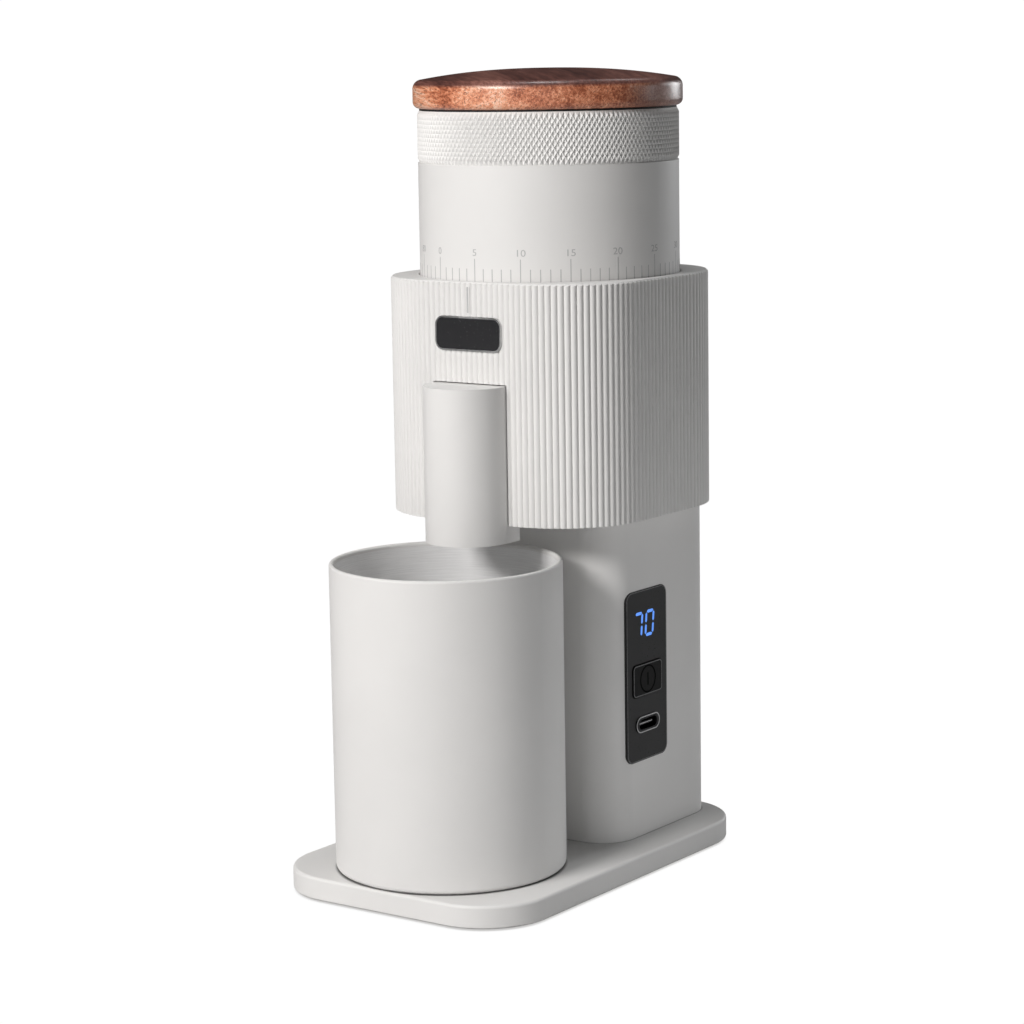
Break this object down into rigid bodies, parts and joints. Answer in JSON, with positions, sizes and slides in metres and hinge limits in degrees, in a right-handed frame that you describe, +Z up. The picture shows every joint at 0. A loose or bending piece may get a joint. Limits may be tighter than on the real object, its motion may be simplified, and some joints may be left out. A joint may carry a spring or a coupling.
{
  "type": "burr coffee grinder",
  "caption": "Rechargeable burr coffee grinder with a ribbed drum, numbered grind dial, wooden lid, side control panel, spout and catch cup on a flat base.",
  "frame": {"origin": "centre of the footprint, on the surface that the foot pad stands on", "axes": "+Z up along the burr axis, -Y to the front (spout and cup), +X towards the control panel"},
  "size_m": [0.0736, 0.1134, 0.2028],
  "materials": {
    "white_coat": "fine matte powder coat",
    "walnut": "oiled, straight grain",
    "black_gloss": "polished",
    "button_black": "satin gloss",
    "chrome_trim": "polished",
    "pointer_grey": "matte inlay",
    "dark_rubber": "matte",
    "steel": "machined",
    "burr_steel": "hardened and ground",
    "screw_steel": "zinc plated",
    "motor_steel": "plated can",
    "cast_alloy": "machined",
    "gear_brass": "cut",
    "black_plastic": "moulded",
    "hopper_smoke": "moulded",
    "board_green": "solder mask",
    "cell_wrap": "heat-shrunk sleeve"
  },
  "bodies": {
    "frame": {"base_plate": "white_coat", "foot_pad": "dark_rubber", "column_screws": "screw_steel", "column_housing": "white_coat", "control_panel": "black_gloss", "display_module": "black_plastic", "button_switch": "black_plastic", "usb_c_shell": "steel", "usb_c_tongue": "black_plastic", "control_board": "board_green", "battery_cells": "cell_wrap", "battery_holder": "black_plastic", "motor": "motor_steel", "motor_screws": "screw_steel", "idler_pin": "steel", "lower_bearing": "steel", "upper_bearing": "steel", "shaft_seal": "dark_rubber", "drum_floor": "white_coat", "chamber_screws": "screw_steel", "shell_screws": "screw_steel", "floor_screws": "screw_steel", "drum_shell": "white_coat", "pointer_mark": "pointer_grey", "badge_rim": "chrome_trim", "badge_plate": "black_gloss", "grinding_chamber": "cast_alloy", "guide_pins": "steel", "dial_collar": "cast_alloy", "collar_screws": "screw_steel", "spout": "white_coat"},
    "burr_spindle": {"output_gear": "gear_brass", "drive_shaft": "steel", "sweep_disc": "black_plastic", "inner_burr": "burr_steel", "burr_nut": "steel"},
    "idler": {"idler_gear": "gear_brass"},
    "motor_rotor": {"motor_shaft": "steel", "motor_pinion": "gear_brass"},
    "adjuster": {"burr_carrier": "cast_alloy", "outer_burr": "burr_steel"},
    "dial": {"grind_dial": "white_coat", "grip_ring": "white_coat", "hopper": "hopper_smoke"},
    "lid_body": {"lid": "walnut", "lid_seal": "dark_rubber"},
    "button": {"power_button": "button_black"},
    "cup": {"catch_cup": "white_coat"}
  },
  "joints": [
    {"name": "burr_spin", "type": "hinge", "parent": "frame", "child": "burr_spindle", "pos_m": [0, 0.01915, 0.125], "axis": [0, 0, 1], "continuous": true},
    {"name": "idler_spin", "type": "hinge", "parent": "frame", "child": "idler", "pos_m": [-0.01661, 0.02465, 0.1], "axis": [0, 0, 1], "continuous": true},
    {"name": "motor_spin", "type": "hinge", "parent": "frame", "child": "motor_rotor", "pos_m": [0, 0.02215, 0.1], "axis": [0, 0, 1], "continuous": true},
    {"name": "dial_turn", "type": "hinge", "parent": "frame", "child": "dial", "pos_m": [0, 0.01915, 0.17], "axis": [0, 0, 1], "range_deg": [-320, 20]},
    {"name": "carrier_lift", "type": "slide", "parent": "frame", "child": "adjuster", "axis": [0, 0, 1], "range_m": [-0.00008, 0.00133]},
    {"name": "lid_lift", "type": "slide", "parent": "dial", "child": "lid_body", "axis": [0, 0, 1], "range_m": [0, 0.06]},
    {"name": "button_press", "type": "slide", "parent": "frame", "child": "button", "axis": [-1, 0, 0], "range_m": [0, 0.0005], "stiffness_N_per_m": 1500},
    {"name": "cup_slide", "type": "slide", "parent": "frame", "child": "cup", "axis": [0, -1, 0], "range_m": [0, 0.09]}
  ],
  "couplings": [
    {"joint": "idler_spin", "follows": "burr_spin", "ratio": -2.5714},
    {"joint": "motor_spin", "follows": "burr_spin", "ratio": 6.2449},
    {"joint": "dial_turn", "follows": "carrier_lift", "rad_per_m": -4188.8}
  ]
}
